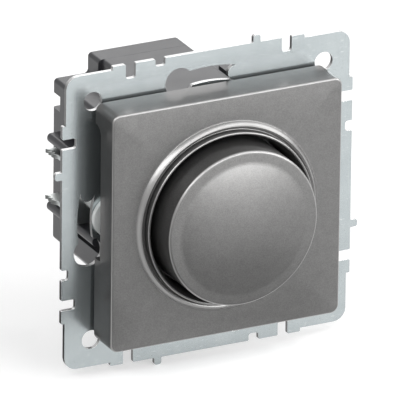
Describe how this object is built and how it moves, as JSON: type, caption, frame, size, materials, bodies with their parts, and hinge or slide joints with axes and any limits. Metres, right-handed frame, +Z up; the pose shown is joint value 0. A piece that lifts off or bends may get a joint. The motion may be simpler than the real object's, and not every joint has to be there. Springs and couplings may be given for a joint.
{
  "type": "rotary dimmer switch",
  "caption": "Flush-mounted rotary dimmer insert: steel support frame, square cover with round collar, push-and-turn knob, spreading claws and plastic housing with terminals.",
  "frame": {"origin": "centre of the support frame's back face, in the plane of the wall", "axes": "+Z up as mounted, -Y out of the wall along the knob's axis, +X to the right seen from the front"},
  "size_m": [0.0744, 0.0529, 0.0744],
  "materials": {
    "zinc_steel": "bright zinc plating on sheet steel",
    "graphite_plastic": "satin metallic graphite lacquer on moulded plastic",
    "dark_plastic": "moulded, matt",
    "nut_brass": "nickel-free turned brass",
    "housing_plastic": "moulded, fine matt grain",
    "screw_steel": "zinc plated",
    "claw_steel": "zinc plated, stamped edges",
    "spring_steel": "bright drawn wire",
    "board_laminate": "glass fibre laminate with green lacquer",
    "choke_core": "iron powder ring with lacquered copper winding",
    "capacitor_case": "moulded box",
    "fuse_glass": "clear glass with metal caps",
    "clip_brass": "tinned",
    "sink_aluminium": "mill finish",
    "resistor_coat": "lacquered",
    "terminal_plastic": "moulded",
    "terminal_brass": "bright",
    "terminal_screw_steel": "zinc plated",
    "plunger_plastic": "moulded",
    "shaft_plastic": "moulded"
  },
  "bodies": {
    "root": {"support_frame": "zinc_steel", "cover_plate": "graphite_plastic", "control_body": "dark_plastic", "bush_washer": "zinc_steel", "bush_nut": "nut_brass", "push_switch": "dark_plastic", "housing": "housing_plastic", "rear_cover": "housing_plastic", "frame_screws": "screw_steel", "rear_cover_screws": "screw_steel", "circuit_board": "board_laminate", "choke": "choke_core", "capacitor": "capacitor_case", "fuse": "fuse_glass", "fuse_clips": "clip_brass", "heat_sink": "sink_aluminium", "triac": "dark_plastic", "triac_screw": "screw_steel", "resistors": "resistor_coat", "terminal_block": "terminal_plastic", "terminal_bars": "terminal_brass"},
    "switch_plunger": {"switch_plunger": "plunger_plastic"},
    "knob": {"knob": "graphite_plastic", "knob_spring": "spring_steel", "control_shaft": "shaft_plastic"},
    "claw_screw_left": {"claw_screw_left": "screw_steel"},
    "claw_left": {"claw_left": "claw_steel"},
    "claw_screw_right": {"claw_screw_right": "screw_steel"},
    "claw_right": {"claw_right": "claw_steel"},
    "terminal_screw_1": {"terminal_screw_1": "terminal_screw_steel"},
    "terminal_clamp_1": {"terminal_clamp_1": "terminal_brass"},
    "terminal_screw_2": {"terminal_screw_2": "terminal_screw_steel"},
    "terminal_clamp_2": {"terminal_clamp_2": "terminal_brass"},
    "terminal_screw_3": {"terminal_screw_3": "terminal_screw_steel"},
    "terminal_clamp_3": {"terminal_clamp_3": "terminal_brass"}
  },
  "joints": [
    {"name": "knob_push", "type": "slide", "parent": "root", "child": "switch_plunger", "axis": [0, 1, 0], "range_m": [0, 0.0012], "stiffness_N_per_m": 900, "springref_m": -0.0006},
    {"name": "knob_turn", "type": "hinge", "parent": "switch_plunger", "child": "knob", "pos_m": [0, -0.012, 0], "axis": [0, 1, 0], "range_deg": [0, 270]},
    {"name": "claw_screw_left_turn", "type": "hinge", "parent": "root", "child": "claw_screw_left", "pos_m": [-0.0235, 0, 0.0005], "axis": [0, 1, 0], "range_deg": [0, 3600]},
    {"name": "claw_left_swing", "type": "hinge", "parent": "root", "child": "claw_left", "pos_m": [0.00112, 0.0066, 0.0011], "axis": [0, 0, 1], "range_deg": [0, 14]},
    {"name": "claw_screw_right_turn", "type": "hinge", "parent": "root", "child": "claw_screw_right", "pos_m": [0.0235, 0, -0.0005], "axis": [0, 1, 0], "range_deg": [0, 3600]},
    {"name": "claw_right_swing", "type": "hinge", "parent": "root", "child": "claw_right", "pos_m": [-0.00112, 0.0066, -0.0011], "axis": [0, 0, -1], "range_deg": [0, 14]},
    {"name": "terminal_clamp_1_slide", "type": "slide", "parent": "root", "child": "terminal_clamp_1", "axis": [0, 0, -1], "range_m": [0, 0.0018]},
    {"name": "terminal_screw_1_turn", "type": "hinge", "parent": "root", "child": "terminal_screw_1", "pos_m": [-0.0082, 0.0224, -0.022], "axis": [0, 0, 1], "range_deg": [0, 1440]},
    {"name": "terminal_clamp_2_slide", "type": "slide", "parent": "root", "child": "terminal_clamp_2", "axis": [0, 0, -1], "range_m": [0, 0.0018]},
    {"name": "terminal_screw_2_turn", "type": "hinge", "parent": "root", "child": "terminal_screw_2", "pos_m": [0, 0.0224, -0.022], "axis": [0, 0, 1], "range_deg": [0, 1440]},
    {"name": "terminal_clamp_3_slide", "type": "slide", "parent": "root", "child": "terminal_clamp_3", "axis": [0, 0, -1], "range_m": [0, 0.0018]},
    {"name": "terminal_screw_3_turn", "type": "hinge", "parent": "root", "child": "terminal_screw_3", "pos_m": [0.0082, 0.0224, -0.022], "axis": [0, 0, 1], "range_deg": [0, 1440]}
  ],
  "couplings": [
    {"joint": "claw_left_swing", "follows": "claw_screw_left_turn", "ratio": 0.003888},
    {"joint": "claw_right_swing", "follows": "claw_screw_right_turn", "ratio": 0.003888},
    {"joint": "terminal_screw_1_turn", "follows": "terminal_clamp_1_slide", "rad_per_m": 13963},
    {"joint": "terminal_screw_2_turn", "follows": "terminal_clamp_2_slide", "rad_per_m": 13963},
    {"joint": "terminal_screw_3_turn", "follows": "terminal_clamp_3_slide", "rad_per_m": 13963}
  ]
}
